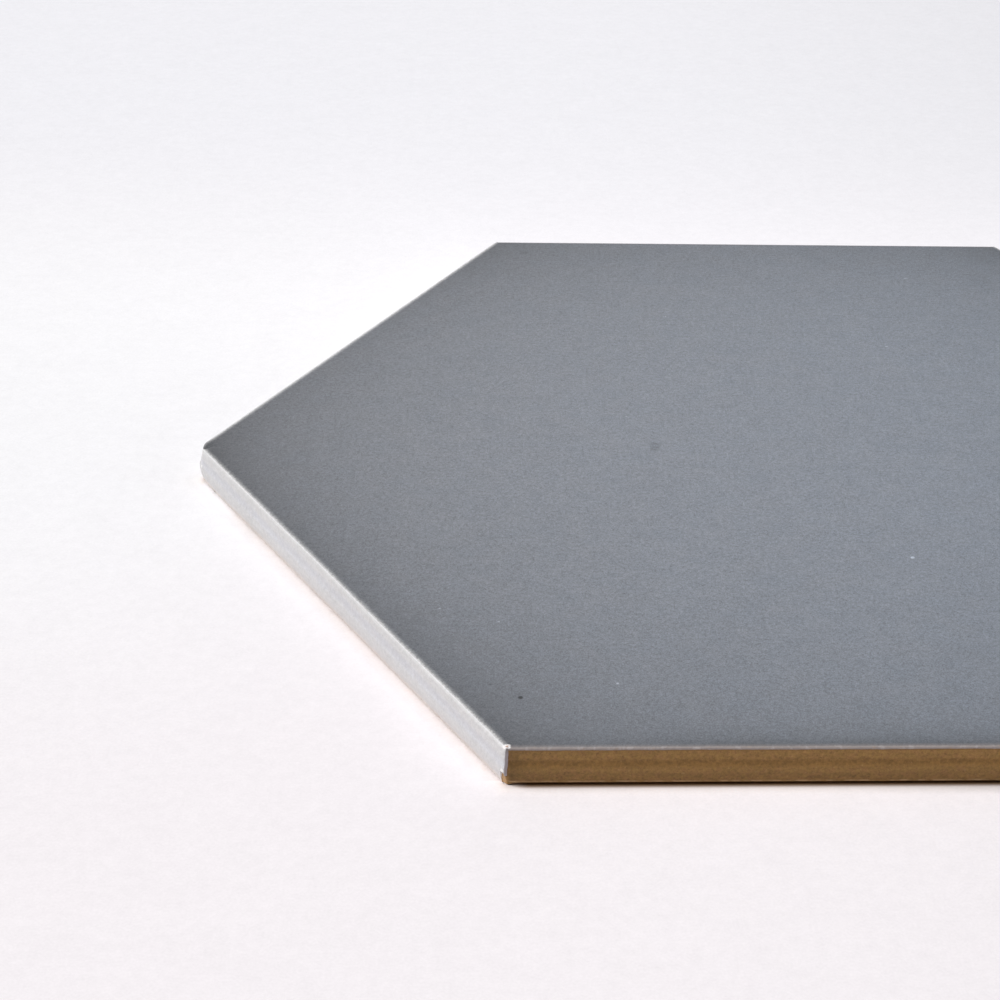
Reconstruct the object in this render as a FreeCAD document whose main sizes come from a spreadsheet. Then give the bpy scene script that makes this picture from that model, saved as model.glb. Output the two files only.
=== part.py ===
"""A hexagonal glazed floor tile: one dust-pressed, fired ceramic piece, lying face up.

The origin is the centre of the underside and +Z points out of the glazed face. Two sides run along X, and two
corners lie on the X axis. Lengths are millimetres and angles degrees.
"""
import FreeCAD, Part
import math
import os

import Sketcher

os.makedirs("parts", exist_ok=True)

SIZES = {
    # The outline in plan, over the widest line of the sides
    "across_flats": 216.5,
    "corner_radius": 1.6,
    # The section through a side, from the glazed face down
    "thickness": 8.0,
    "top_arris_radius": 0.8,
    "upper_draft": 7.0,
    "waist_height": 5.0,  # of the shallow groove round the sides
    "waist_width": 1.6,
    "waist_depth": 0.15,
    "seam_height": 3.0,  # of the upright band where the upper and lower halves of the die meet
    "seam_band": 1.0,
    "lower_draft": 10.5,
    "rim_height": 0.6,  # of the plain border round the back, which stays clear of the bed
    "lower_arris_radius": 0.3,
    # The keying relief of the back: a raised field with a honeycomb of hollows
    "rim_width": 6.0,
    "field_corner_radius": 1.0,
    "field_draft": 30.0,
    "cell_pitch": 20.0,
    "rib_width": 2.4,  # between two hollows, on the bedding plane
    "cell_depth": 0.6,
    "cell_draft": 30.0,
    "field_border": 3.0,  # least width of the field outside the hollows
}
SIDES = 6
TURN = 360 / SIDES
FRONT = -90.0  # the direction in which the first side of the outline faces
CELL_FACING = 0.0  # the direction in which the first wall of a hollow faces its neighbour

# Sizes that follow from the driving ones
SEAM_TOP = "(sizes.seam_height + sizes.seam_band)"
WAIST_INSET = f"(sizes.waist_height - {SEAM_TOP}) * tan(sizes.upper_draft * 1deg)"
WAIST_RADIUS = "(sizes.waist_width ^ 2 / 4 + sizes.waist_depth ^ 2) / (2 * sizes.waist_depth)"
WAIST_REACH = f"({WAIST_RADIUS} - sizes.waist_depth)"  # from the flank to the centre of the groove's arc
LOWER_INSET = "(sizes.seam_height - sizes.rim_height) * tan(sizes.lower_draft * 1deg)"
FIELD_ACROSS = f"(sizes.across_flats - 2 * ({LOWER_INSET} + sizes.rim_width))"
CELL_ACROSS = "(sizes.cell_pitch - sizes.rib_width)"
ROW_PITCH = "(sizes.cell_pitch * cos(30deg))"
RINGS = f"floor(({FIELD_ACROSS} / 2 - sizes.field_border - {CELL_ACROSS} / (2 * cos(30deg))) / {ROW_PITCH})"

doc = FreeCAD.newDocument("hexagon_floor_tile")
sheet = doc.addObject("Spreadsheet::Sheet", "sizes")
for row, (alias, value) in enumerate(SIZES.items(), start=1):
    sheet.set(f"A{row}", alias)
    sheet.set(f"B{row}", str(value))
    sheet.setAlias(f"B{row}", alias)
doc.recompute()


def number(expression):
    """The value that an expression on the size sheet has now."""
    return float(sheet.evalExpression(expression))


def origin_feature(body, role):
    """The plane or axis of the body's own origin that has this role."""
    return next(item for item in body.Origin.OriginFeatures if item.Role == role)


def new_sketch(body, name, plane="XY_Plane", height=None):
    """An empty sketch on one of the body's origin planes, lifted off it where a height is given."""
    sketch = body.newObject("Sketcher::SketchObject", name)
    sketch.AttachmentSupport = [(origin_feature(body, plane), "")]
    sketch.MapMode = "FlatFace"
    if height:
        sketch.setExpression("AttachmentOffset.Base.z", height)
    return sketch


def bind(sketch, constraint, expression):
    """Adds a sized constraint and ties its value to the sheet."""
    index = sketch.addConstraint(constraint)
    sketch.setExpression(f"Constraints[{index}]", expression)


def polar(length, degrees, centre=(0, 0)):
    """The point at a length and an angle from a centre."""
    angle = math.radians(degrees)
    return FreeCAD.Vector(centre[0] + length * math.cos(angle), centre[1] + length * math.sin(angle), 0)


def draw_hexagon(sketch, across, radius=None, facing=FRONT, centre_x=None):
    """A regular hexagon, with its corners rounded where a radius is given.

    Its sides are lines 0 to 5, and its rounded corners arcs 6 to 11. Opposite sides are parallel, all six are
    as far from the centre, and three are equal.
    """
    apothem = number(across) / 2
    rounding = number(radius) if radius else 0
    shift = number(centre_x) if centre_x else 0
    half_side = (apothem - rounding) * math.tan(math.radians(TURN / 2))
    for side in range(SIDES):
        middle = polar(apothem, facing + TURN * side, (shift, 0))
        along = polar(half_side, facing + TURN * side + 90)
        sketch.addGeometry(Part.LineSegment(middle - along, middle + along), False)
    for corner in range(SIDES if radius else 0):
        start = facing + TURN * corner
        hub = polar((apothem - rounding) / math.cos(math.radians(TURN / 2)), start + TURN / 2, (shift, 0))
        circle = Part.Circle(hub, FreeCAD.Vector(0, 0, 1), rounding)
        arc = Part.ArcOfCircle(circle, math.radians(start), math.radians(start + TURN))
        sketch.addGeometry(arc, False)
    for side in range(SIDES):
        following = (side + 1) % SIDES
        if radius:
            sketch.addConstraint(Sketcher.Constraint("Tangent", side, 2, SIDES + side, 1))
            sketch.addConstraint(Sketcher.Constraint("Tangent", SIDES + side, 2, following, 1))
        else:
            sketch.addConstraint(Sketcher.Constraint("Coincident", side, 2, following, 1))
    centre = (-1, 1)
    if centre_x:
        point = sketch.addGeometry(Part.Point(FreeCAD.Vector(shift, 0, 0)), True)
        centre = (point, 1)
        sketch.addConstraint(Sketcher.Constraint("PointOnObject", point, 1, -1))
        bind(sketch, Sketcher.Constraint("DistanceX", -1, 1, point, 1, shift), centre_x)
    sketch.addConstraint(Sketcher.Constraint("Horizontal" if facing == FRONT else "Vertical", 0))
    for side in range(SIDES // 2):
        sketch.addConstraint(Sketcher.Constraint("Parallel", side, side + SIDES // 2))
    for side in (1, 2):
        sketch.addConstraint(Sketcher.Constraint("Equal", 0, side))
    for side in range(SIDES):
        bind(sketch, Sketcher.Constraint("Distance", *centre, side, apothem), f"{across} / 2")
    if radius:
        for corner in range(1, SIDES):
            sketch.addConstraint(Sketcher.Constraint("Equal", SIDES, SIDES + corner))
        bind(sketch, Sketcher.Constraint("Radius", SIDES, rounding), radius)


def outline_sketch(body, name, height, inset="0"):
    """The rounded outline of the tile at a height, drawn in from the widest line by an inset."""
    sketch = new_sketch(body, name, height=height)
    draw_hexagon(sketch, f"(sizes.across_flats - 2 * ({inset}))", f"(sizes.corner_radius - {inset})")
    return sketch


def pad(body, name, sketch, length, draft=None, down=False):
    """A pad upwards or downwards, narrowing away from its sketch by a draft angle."""
    feature = body.newObject("PartDesign::Pad", name)
    feature.Profile = sketch
    feature.Reversed = down
    feature.setExpression("Length", length)
    if draft:
        feature.setExpression("TaperAngle", f"-{draft}")
    return feature


def edges_at(shape, height):
    """Names of the edges that lie wholly at a height."""
    names = []
    for index, edge in enumerate(shape.Edges, start=1):
        box = edge.BoundBox
        if abs(box.ZMin - height) < 1e-6 and abs(box.ZMax - height) < 1e-6:
            names.append(f"Edge{index}")
    return names


def round_edges(body, name, height, radius):
    """Rounds every edge of the body that lies at a height."""
    doc.recompute()
    base = body.Tip
    feature = body.newObject("PartDesign::Fillet", name)
    feature.Base = (base, edges_at(base.Shape, number(height)))
    feature.setExpression("Radius", radius)
    return feature


def press_flanks(body):
    """The slab: an upright band at the die's seam, with a drafted flank above it and another below."""
    band = outline_sketch(body, "seam_outline", "sizes.seam_height")
    pad(body, "seam_band", band, "sizes.seam_band")
    upper = outline_sketch(body, "upper_outline", SEAM_TOP)
    pad(body, "upper_flank", upper, f"sizes.thickness - {SEAM_TOP}", "sizes.upper_draft")
    lower = outline_sketch(body, "lower_outline", "sizes.seam_height")
    pad(body, "lower_flank", lower, "sizes.seam_height - sizes.rim_height", "sizes.lower_draft", down=True)
    round_edges(body, "top_arris", "sizes.thickness", "sizes.top_arris_radius")
    round_edges(body, "lower_arris", "sizes.rim_height", "sizes.lower_arris_radius")


def cut_waist(body):
    """The shallow round groove that runs along all six sides, swept round the tile."""
    path = outline_sketch(body, "waist_path", "sizes.waist_height", WAIST_INSET)
    section = new_sketch(body, "waist_section", "YZ_Plane")
    out = f"sizes.across_flats / 2 - {WAIST_INSET} + {WAIST_REACH} * cos(sizes.upper_draft * 1deg)"
    up = f"sizes.waist_height + {WAIST_REACH} * sin(sizes.upper_draft * 1deg)"
    hub = FreeCAD.Vector(-number(out), number(up), 0)
    circle = section.addGeometry(Part.Circle(hub, FreeCAD.Vector(0, 0, 1), number(WAIST_RADIUS)), False)
    bind(section, Sketcher.Constraint("DistanceX", circle, 3, -1, 1, -hub.x), out)
    bind(section, Sketcher.Constraint("DistanceY", -1, 1, circle, 3, hub.y), up)
    bind(section, Sketcher.Constraint("Radius", circle, number(WAIST_RADIUS)), WAIST_RADIUS)
    doc.recompute()
    sweep = body.newObject("PartDesign::SubtractivePipe", "waist_groove")
    sweep.Profile = section
    sweep.Spine = (path, [])
    return sweep


def raise_field(body):
    """The field of the back that stands proud of the border and beds on the adhesive."""
    outline = new_sketch(body, "field_outline", height="sizes.rim_height")
    draw_hexagon(outline, FIELD_ACROSS, "sizes.field_corner_radius")
    return pad(body, "keying_field", outline, "sizes.rim_height", "sizes.field_draft", down=True)


def cell_pocket(body, name, sketch):
    """One hollow of the honeycomb, pressed up into the field with drafted walls."""
    feature = body.newObject("PartDesign::Pocket", name)
    feature.Profile = sketch
    feature.Reversed = True
    feature.setExpression("Length", "sizes.cell_depth")
    feature.setExpression("TaperAngle", "-sizes.cell_draft")
    return feature


def press_honeycomb(body):
    """The honeycomb: a hollow at the centre, and three like rhombuses of hollows a third of a turn apart."""
    middle = new_sketch(body, "middle_cell")
    draw_hexagon(middle, CELL_ACROSS, facing=CELL_FACING)
    cell_pocket(body, "middle_hollow", middle)

    first = new_sketch(body, "first_cell")
    draw_hexagon(first, CELL_ACROSS, facing=CELL_FACING, centre_x="sizes.cell_pitch")
    slant_end = polar(number("sizes.cell_pitch"), 2 * TURN)
    slant = first.addGeometry(Part.LineSegment(FreeCAD.Vector(0, 0, 0), slant_end), True)
    first.addConstraint(Sketcher.Constraint("Coincident", slant, 1, -1, 1))
    bind(first, Sketcher.Constraint("Distance", slant, slant_end.Length), "sizes.cell_pitch")
    bind(first, Sketcher.Constraint("Angle", slant, math.radians(2 * TURN)), f"{2 * TURN} deg")
    hollow = cell_pocket(body, "first_hollow", first)
    doc.recompute()

    honeycomb = body.newObject("PartDesign::MultiTransform", "honeycomb")
    along = doc.addObject("PartDesign::LinearPattern", "along_x")
    along.Direction = (first, ["H_Axis"])
    aslant = doc.addObject("PartDesign::LinearPattern", "aslant")
    aslant.Direction = (first, ["Axis0"])
    for pattern, count in ((along, RINGS), (aslant, f"{RINGS} + 1")):
        pattern.Mode = "Spacing"
        pattern.setExpression("Offset", "sizes.cell_pitch")
        pattern.setExpression("Occurrences", count)
    thirds = doc.addObject("PartDesign::PolarPattern", "thirds")
    thirds.Axis = (first, ["N_Axis"])
    thirds.Angle = 360
    thirds.Occurrences = 3
    for pattern in (along, aslant, thirds):
        body.addObject(pattern)
    honeycomb.Originals = [hollow]
    honeycomb.Transformations = [along, aslant, thirds]
    body.Tip = honeycomb
    return honeycomb


def make_tile():
    """The whole tile, which is a single fired piece."""
    body = doc.addObject("PartDesign::Body", "hexagon_tile")
    body.Label = "hexagon_tile"
    body.Placement = FreeCAD.Placement()
    press_flanks(body)
    cut_waist(body)
    raise_field(body)
    press_honeycomb(body)
    return body


bodies = [make_tile()]
doc.recompute()
for item in doc.Objects:
    if {"Invalid", "Error"} & set(item.State):
        raise RuntimeError(f"{item.Name} failed: {item.State}")
for body in bodies:
    if body.Shape.isNull() or not body.Shape.isValid() or len(body.Shape.Solids) != 1:
        raise RuntimeError(f"{body.Label} is not one valid solid")
for body in bodies:
    body.Shape.exportStep(f"parts/{body.Label}.step")
    box = body.Shape.optimalBoundingBox(True, False)
    print(f"{body.Label}: {box.XLength:.2f} x {box.YLength:.2f} x {box.ZLength:.2f} mm,",
          f"{body.Shape.Volume / 1000:.1f} cm3, {len(body.Shape.Faces)} faces,",
          f"{number(RINGS):.0f} rings of hollows")
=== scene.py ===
# %% [markdown]
# # A hexagonal floor tile, pressed, glazed and fired
# The real object is one piece of clay, pressed dry in a steel die and fired once. A pale glaze runs over
# its face, its arrises and four of its sides, and a satin blue-grey glaze lies over that on the face
# alone. The two other sides stayed bare and show the brown body. In the press the sides got a shallow
# waist and an upright seam band, and the back a honeycomb that keys into the adhesive.
#
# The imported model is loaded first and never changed. Every size below is either read from it or a named
# value.

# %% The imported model
import math

import bmesh
import bpy
import numpy as np
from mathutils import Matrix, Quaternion, Vector, noise
from mathutils.geometry import delaunay_2d_cdt


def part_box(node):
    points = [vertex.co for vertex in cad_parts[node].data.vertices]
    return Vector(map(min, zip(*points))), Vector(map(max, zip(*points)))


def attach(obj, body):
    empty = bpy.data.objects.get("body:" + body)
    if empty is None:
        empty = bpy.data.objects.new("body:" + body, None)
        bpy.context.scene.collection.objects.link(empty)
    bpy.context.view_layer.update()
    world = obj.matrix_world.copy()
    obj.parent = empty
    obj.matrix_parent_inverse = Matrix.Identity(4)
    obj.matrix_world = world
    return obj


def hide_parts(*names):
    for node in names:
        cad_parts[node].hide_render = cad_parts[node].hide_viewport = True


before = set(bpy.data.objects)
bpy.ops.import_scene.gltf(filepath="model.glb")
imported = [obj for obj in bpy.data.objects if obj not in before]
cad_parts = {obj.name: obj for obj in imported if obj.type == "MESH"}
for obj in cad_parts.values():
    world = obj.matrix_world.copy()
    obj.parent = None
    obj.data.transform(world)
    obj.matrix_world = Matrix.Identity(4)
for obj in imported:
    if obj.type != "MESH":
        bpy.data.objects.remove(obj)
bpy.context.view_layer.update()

print("nodes in the frame:", sorted(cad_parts))

# %% [markdown]
# ## Sizes
# The outline comes from the frame: the box gives the width across the flats, the width across the corners
# and the thickness, and from the first two follows the radius of the corners. The section of the sides is
# written here as the die maker would write it, from the glazed face down.

# %% Sizes
MM = 0.001
TURN = math.tau / 6
COS30 = math.cos(TURN / 2)
TAN30 = math.tan(TURN / 2)

box_low, box_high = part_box("hexagon_tile")
ACROSS_FLATS = box_high.y - box_low.y
HALF_ACROSS = ACROSS_FLATS / 2
THICKNESS = box_high.z - box_low.z
CORNER_RADIUS = (HALF_ACROSS / COS30 - box_high.x) / (1 / COS30 - 1)

ARRIS_RADIUS = 0.8 * MM
UPPER_DRAFT = math.radians(7)
WAIST_HEIGHT = 5.0 * MM
WAIST_WIDTH = 1.6 * MM
WAIST_DEPTH = 0.15 * MM
SEAM_TOP = 4.0 * MM
SEAM_BOTTOM = 3.0 * MM
LOWER_DRAFT = math.radians(10.5)
LOWER_ARRIS = 0.3 * MM
RIM_HEIGHT = 0.6 * MM
RIM_WIDTH = 6.0 * MM
FIELD_DRAFT = math.radians(30)
CELL_PITCH = 20.0 * MM
RIB_WIDTH = 2.4 * MM
CELL_RINGS = 5

print(f"across flats {ACROSS_FLATS / MM:.2f} mm, thickness {THICKNESS / MM:.2f} mm, "
      f"corner radius {CORNER_RADIUS / MM:.2f} mm")

# %% [markdown]
# ## Camera
# The camera looks down on the tile from the front at about 29 degrees, from some 49 cm away, through a
# long lens. Its place was worked out from the straight edges of the tile, so the values below are a fit
# and not round numbers. The picture is 1000 pixels wide, and a small helper finds where a pixel's ray
# meets the glazed face. It is used later for the few flaws of the glaze whose places can be seen.

# %% Camera
def in_scene(name, data):
    """A new object, linked to the scene."""
    made = bpy.data.objects.new(name, data)
    bpy.context.scene.collection.objects.link(made)
    return made


PICTURE = 1000
SENSOR_WIDTH = 36.0
FOCAL_PIXELS = 2408.31
CUT_OFF_LEFT = 120
EYE = Vector((-67.849, -443.944, 246.882)) * MM
ELEVATION = math.radians(29.4638)
AZIMUTH = math.radians(3.9884)
ROLL = math.radians(2.1011)

ahead = Vector((math.sin(AZIMUTH) * math.cos(ELEVATION), math.cos(AZIMUTH) * math.cos(ELEVATION),
                -math.sin(ELEVATION)))
lens = bpy.data.cameras.new("camera")
lens.sensor_width = SENSOR_WIDTH
lens.lens = FOCAL_PIXELS * SENSOR_WIDTH / PICTURE
lens.shift_x = -CUT_OFF_LEFT / PICTURE
lens.clip_start = 0.01
lens.clip_end = 100
camera = in_scene("camera", lens)
camera.location = EYE
camera.rotation_mode = "QUATERNION"
camera.rotation_quaternion = ahead.to_track_quat("-Z", "Y") @ Quaternion((0, 0, 1), ROLL)
bpy.context.scene.camera = camera


def on_face(column, row):
    """The point of the glazed face that shows at a pixel of the picture."""
    ray = Vector((column - (PICTURE - 1) / 2 - CUT_OFF_LEFT, (PICTURE - 1) / 2 - row, -FOCAL_PIXELS))
    ray.rotate(camera.rotation_quaternion)
    return EYE + ray * ((THICKNESS - EYE.z) / ray.z)


print("middle of the picture lies on the face at", [round(v / MM, 1) for v in on_face(499.5, 499.5)])

# %% [markdown]
# ## One way to write node trees
# Geometry Nodes and materials are both trees of nodes. `Graph.node` adds any node: its settings first,
# then the values or links of its sockets. It returns a `Wire`, and arithmetic on wires adds Math nodes,
# so a formula reads like a formula. A wire knows its graph, so a helper that gets a wire needs nothing
# else.

# %% Wires and graphs
def operator(operation, reflected=False):
    """A method that adds one Math node. A reflected one takes its two values the other way round."""
    def method(self, other):
        return self.graph.math(operation, *((other, self) if reflected else (self, other)))
    return method


class Wire:
    """One output of a node. Arithmetic on it adds Math nodes to the tree."""

    def __init__(self, graph, socket):
        self.graph = graph
        self.socket = socket

    def __abs__(self):
        return self.graph.math("ABSOLUTE", self)

    __add__, __radd__ = operator("ADD"), operator("ADD", True)
    __sub__, __rsub__ = operator("SUBTRACT"), operator("SUBTRACT", True)
    __mul__, __rmul__ = operator("MULTIPLY"), operator("MULTIPLY", True)
    __truediv__, __rpow__ = operator("DIVIDE"), operator("POWER", True)
    __mod__ = operator("MODULO")
    __lt__, __gt__ = operator("LESS_THAN"), operator("GREATER_THAN")


def pick(sockets, key):
    """A socket by its number, its identifier or its name."""
    if isinstance(key, int):
        return sockets[key]
    named = [s for s in sockets if s.identifier == key] + [s for s in sockets if s.name == key]
    return named[0]


class Graph:
    """A node tree that grows by one call for each node."""

    def __init__(self, tree):
        self.tree = tree

    def node(self, kind, settings=None, sockets=None, output=0):
        made = self.tree.nodes.new(kind)
        for name, value in (settings or {}).items():
            setattr(made, name, value)
        for key, value in (sockets or {}).items():
            socket = pick(made.inputs, key)
            if isinstance(value, Wire):
                self.tree.links.new(value.socket, socket)
            else:
                socket.default_value = value
        return Wire(self, pick(made.outputs, output)) if len(made.outputs) else made

    def math(self, operation, *values):
        return self.node("ShaderNodeMath", {"operation": operation}, dict(enumerate(values)))

    def vector(self, operation, *values, output=0):
        return self.node("ShaderNodeVectorMath", {"operation": operation}, dict(enumerate(values)), output)


def scaled(vector, amount):
    """A vector or a colour times a number."""
    return vector.graph.node("ShaderNodeVectorMath", {"operation": "SCALE"}, {0: vector, "Scale": amount})


# %% Running Geometry Nodes
def geometry_graph(name, inputs):
    """An empty Geometry Nodes tree with named inputs, and a wire for each of them."""
    tree = bpy.data.node_groups.new(name, "GeometryNodeTree")
    tree.interface.new_socket(name="Geometry", in_out="OUTPUT", socket_type="NodeSocketGeometry")
    for label, kind in inputs.items():
        tree.interface.new_socket(name=label, in_out="INPUT", socket_type="NodeSocket" + kind)
    graph = Graph(tree)
    entry = tree.nodes.new("NodeGroupInput")
    return graph, {label: Wire(graph, entry.outputs[label]) for label in inputs}


def close_geometry(graph, geometry, material):
    """The last nodes of every tree here: smooth, real geometry with its material."""
    smooth = graph.node("GeometryNodeSetShadeSmooth", {}, {"Geometry": geometry})
    real = graph.node("GeometryNodeRealizeInstances", {}, {"Geometry": smooth})
    finished = graph.node("GeometryNodeSetMaterial", {}, {"Geometry": real, "Material": material})
    graph.node("NodeGroupOutput", {}, {"Geometry": finished})


def grow(graph, data, values):
    """Runs a tree on a curve or a mesh and gives the result as a plain mesh."""
    carrier = in_scene(data.name, data)
    modifier = carrier.modifiers.new(graph.tree.name, "NODES")
    modifier.node_group = graph.tree
    for item in graph.tree.interface.items_tree:
        if item.name in values:
            modifier[item.identifier] = values[item.name]
    bpy.context.view_layer.update()
    view = bpy.context.evaluated_depsgraph_get()
    mesh = bpy.data.meshes.new_from_object(carrier.evaluated_get(view), depsgraph=view)
    bpy.data.objects.remove(carrier)
    return mesh


tile_finish = bpy.data.materials.new("glazed_and_bare_clay")
print("helpers ready, material:", tile_finish.name)

# %% [markdown]
# ## The section of a side
# A die gives every side the same section, so the side is best made by sweeping that section round the
# outline. The section is a chain of points: the top arris, the drafted upper flank with its waist, the
# seam band, the lower flank and the lower arris. Each point is a distance out from the widest line and a
# height. The rows lie closest near the face and near the foot, where the glaze ends, because its edge is
# modelled as a real step.

# %% The section
CLOSE_ROWS_ABOVE = 6.7 * MM
CLOSE_ROWS_BELOW = 1.6 * MM


def arc(centre, radius, start, stop, steps):
    """Points on an arc, between two angles in degrees."""
    angles = np.radians(np.linspace(start, stop, steps + 1))
    return np.column_stack((centre[0] + radius * np.cos(angles), centre[1] + radius * np.sin(angles)))


def upper_flank(heights):
    return np.column_stack(((SEAM_TOP - heights) * math.tan(UPPER_DRAFT), heights))


def lower_flank(heights):
    return np.column_stack(((heights - SEAM_BOTTOM) * math.tan(LOWER_DRAFT), heights))


def waist(steps):
    """The shallow groove, an arc set square to the drafted flank."""
    radius = (WAIST_WIDTH ** 2 / 4 + WAIST_DEPTH ** 2) / (2 * WAIST_DEPTH)
    slide = np.linspace(WAIST_WIDTH / 2, -WAIST_WIDTH / 2, steps + 1)
    depth = np.sqrt(radius ** 2 - slide ** 2) - (radius - WAIST_DEPTH)
    up_flank = np.array((-math.sin(UPPER_DRAFT), math.cos(UPPER_DRAFT)))
    out_of_flank = np.array((math.cos(UPPER_DRAFT), math.sin(UPPER_DRAFT)))
    middle = upper_flank(np.array([WAIST_HEIGHT]))[0]
    return middle + slide[:, None] * up_flank - depth[:, None] * out_of_flank


def side_section():
    """From the edge of the flat face to the border of the back."""
    arris_height = THICKNESS - ARRIS_RADIUS
    arris_x = upper_flank(np.array([arris_height]))[0, 0] - ARRIS_RADIUS / math.cos(UPPER_DRAFT)
    arris = arc((arris_x, arris_height), ARRIS_RADIUS, 90, math.degrees(UPPER_DRAFT), 12)
    groove = waist(8)
    near_line = upper_flank(np.linspace(arris[-1, 1], CLOSE_ROWS_ABOVE, 7))[1:]
    above_waist = upper_flank(np.linspace(CLOSE_ROWS_ABOVE, groove[0, 1], 5))[1:-1]
    seam = np.column_stack((np.zeros(4), np.linspace(SEAM_TOP, SEAM_BOTTOM, 4)))
    foot_height = RIM_HEIGHT + LOWER_ARRIS
    foot_x = lower_flank(np.array([foot_height]))[0, 0] - LOWER_ARRIS / math.cos(LOWER_DRAFT)
    foot = arc((foot_x, foot_height), LOWER_ARRIS, -math.degrees(LOWER_DRAFT), -90, 5)
    undercut = lower_flank(np.linspace(SEAM_BOTTOM, CLOSE_ROWS_BELOW, 5))[1:-1]
    near_foot = lower_flank(np.linspace(CLOSE_ROWS_BELOW, foot[0, 1], 7))[:-1]
    return np.concatenate((arris, near_line, above_waist, groove, seam, undercut, near_foot, foot))


SECTION = side_section()
print(len(SECTION), "points, the first", f"{-SECTION[0, 0] / MM:.2f} mm inside the widest line")

# %% [markdown]
# ## Sweeping a section round a hexagon
# The tree starts from a hexagon, rounds its corners, cuts the long runs into short ones and sweeps the
# section along them. The finest detail is at the corners, so the cuts crowd towards them: along each run
# they are shifted by a sine wave. The same tree also makes the wall of the raised field and one hollow.

# %% The sweeping tree
def sweeping_graph():
    graph, given = geometry_graph("sweep_round_hexagon", {
        "Section": "Geometry", "Across flats": "Float", "Corner radius": "Float", "Corner steps": "Int",
        "Run cuts": "Int", "Crowding": "Float", "Material": "Material"})
    half = given["Across flats"] / 2
    hexagon = graph.node("GeometryNodeCurvePrimitiveCircle", {"mode": "RADIUS"},
                         {"Resolution": 6, "Radius": half / COS30}, "Curve")
    rounded = graph.node("GeometryNodeFilletCurve", {"mode": "POLY"}, {
        "Curve": hexagon, "Count": given["Corner steps"], "Radius": given["Corner radius"]})
    index = graph.node("GeometryNodeInputIndex")
    starts_run = (index % (given["Corner steps"] + 1)) > (given["Corner steps"] - 0.5)
    cut = graph.node("GeometryNodeSubdivideCurve", {},
                     {"Curve": rounded, "Cuts": starts_run * given["Run cuts"]})
    place = graph.node("GeometryNodeInputPosition")
    tangent = graph.node("GeometryNodeInputTangent")
    outward = graph.vector("CROSS_PRODUCT", tangent, (0, 0, 1))
    reach = graph.vector("DOT_PRODUCT", place, outward, output="Value")
    slide = graph.vector("DOT_PRODUCT", place, tangent, output="Value")
    half_run = (half - given["Corner radius"]) * TAN30
    wave = graph.math("SINE", slide / half_run * math.pi)
    shift = scaled(tangent, wave * given["Crowding"] * half_run / math.pi)
    on_run = reach < half * 1.00001
    crowded = graph.node("GeometryNodeSetPosition", {}, {
        "Geometry": cut, "Selection": on_run, "Offset": shift})
    swept = graph.node("GeometryNodeCurveToMesh", {}, {"Curve": crowded, "Profile Curve": given["Section"]})
    close_geometry(graph, swept, given["Material"])
    return graph


sweeping = sweeping_graph()


def sweep(section, across, radius, corner_steps, run_cuts, crowding=0.0):
    """A section, given as distances out and heights, swept round a hexagon. Rows run from ring to ring."""
    line = bpy.data.curves.new("section", "CURVE")
    line.dimensions = "3D"
    spline = line.splines.new("POLY")
    spline.points.add(len(section) - 1)
    for point, (out, height) in zip(spline.points, section):
        point.co = (out, -height, 0, 1)
    return grow(sweeping, line, {
        "Across flats": across, "Corner radius": radius, "Corner steps": corner_steps,
        "Run cuts": run_cuts, "Crowding": crowding, "Material": tile_finish})


SIDE_BAND = sweep(SECTION, ACROSS_FLATS, CORNER_RADIUS, corner_steps=12, run_cuts=130, crowding=0.75)
print("side band:", len(SIDE_BAND.vertices), "points,", len(SIDE_BAND.polygons), "faces")

# %% [markdown]
# ## The back
# The back rests on the raised field, and the border round it stays clear. A honeycomb of shallow hollows
# is pressed into the field so that the adhesive can grip. One hollow is swept like the side, with rounded
# corners and a rounded foot, and a second tree puts it on a hexagonal lattice. A lattice point has two
# whole numbers, a column and a row. Both, and their sum, stay within the number of rings, which leaves a
# hexagon of hollows.

# %% The raised field and one hollow
FIELD_HALF = HALF_ACROSS + lower_flank(np.array([RIM_HEIGHT]))[0, 0] - RIM_WIDTH
FIELD_CORNER = 1.0 * MM
FIELD_EDGE = 0.12 * MM
CELL_CORNER = 0.9 * MM
CELL_EDGE = 0.1 * MM
CELL_LIP_IN = 0.04 * MM
CELL_LIP_UP = 0.12 * MM
CELL_HALF = (CELL_PITCH - RIB_WIDTH) / 2

field_run = RIM_HEIGHT * math.tan(FIELD_DRAFT)
FIELD_SECTION = np.array((
    (0, RIM_HEIGHT), (FIELD_EDGE - field_run, FIELD_EDGE), (-field_run - FIELD_EDGE, 0)))
CELL_SECTION = np.array((
    (CELL_EDGE, 0), (-CELL_LIP_IN, CELL_LIP_UP),
    (CELL_EDGE - field_run, RIM_HEIGHT - CELL_LIP_UP), (-field_run - CELL_EDGE, RIM_HEIGHT)))
field_wall = sweep(FIELD_SECTION, 2 * FIELD_HALF, FIELD_CORNER, corner_steps=6, run_cuts=12)
hollow = sweep(CELL_SECTION, 2 * CELL_HALF, CELL_CORNER, corner_steps=4, run_cuts=2)
print("field wall:", len(field_wall.polygons), "faces, one hollow:", len(hollow.polygons), "faces")


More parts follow.
